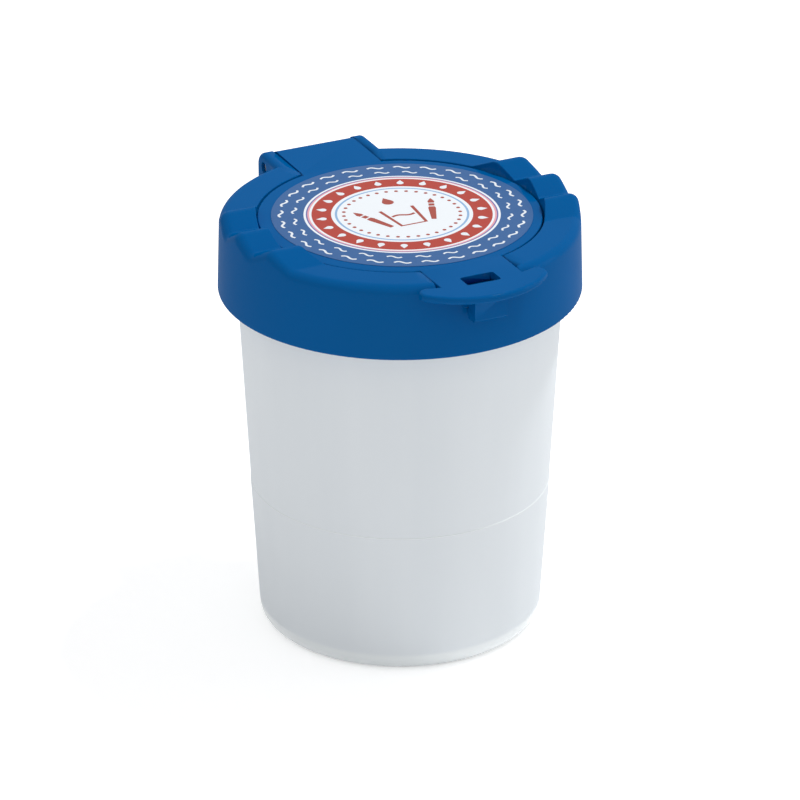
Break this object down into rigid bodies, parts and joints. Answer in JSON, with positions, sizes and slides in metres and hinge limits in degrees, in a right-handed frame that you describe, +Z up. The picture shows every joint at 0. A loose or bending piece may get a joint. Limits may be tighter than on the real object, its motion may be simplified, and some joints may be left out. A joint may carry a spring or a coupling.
{
  "type": "paint water cup",
  "caption": "Frosted water cup for painting with a spill-proof funnel, a screw-on collar with brush rests and a hinged flap that snaps shut.",
  "frame": {"origin": "on the cup's axis, at the plane of the foot ring that the cup stands on", "axes": "+Z up along the cup's axis; -Y towards the latch lip, +Y towards the hinge; the brush rests lie at -X and +X"},
  "size_m": [0.0785, 0.0935, 0.0969],
  "materials": {
    "frosted_plastic": "frosted translucent moulded polypropylene",
    "natural_plastic": "natural milky moulded polypropylene",
    "soft_rubber": "soft white moulded elastomer",
    "blue_plastic": "satin blue moulded polypropylene",
    "steel_wire": "drawn stainless wire",
    "printed_film": "printed white film, satin"
  },
  "bodies": {
    "cup_body": {"cup": "frosted_plastic"},
    "funnel_body": {"spill_funnel": "natural_plastic"},
    "gasket_body": {"rim_gasket": "soft_rubber"},
    "collar_body": {"screw_collar": "blue_plastic", "hinge_pin": "steel_wire"},
    "flap_body": {"flap_lid": "blue_plastic", "label": "printed_film"}
  },
  "joints": [
    {"name": "funnel_lift", "type": "slide", "parent": "cup_body", "child": "funnel_body", "axis": [0, 0, 1], "range_m": [0, 0.045]},
    {"name": "collar_lift", "type": "slide", "parent": "funnel_body", "child": "gasket_body", "axis": [0, 0, 1], "range_m": [0, 0.005]},
    {"name": "collar_turn", "type": "hinge", "parent": "gasket_body", "child": "collar_body", "pos_m": [0, 0, 0.0859], "axis": [0, 0, 1], "range_deg": [0, 450]},
    {"name": "flap_hinge", "type": "hinge", "parent": "collar_body", "child": "flap_body", "pos_m": [0, 0.0424, 0.09155], "axis": [-1, 0, 0], "range_deg": [0, 180]}
  ],
  "couplings": [
    {"joint": "collar_lift", "follows": "collar_turn", "m_per_rad": 0.0006366}
  ]
}
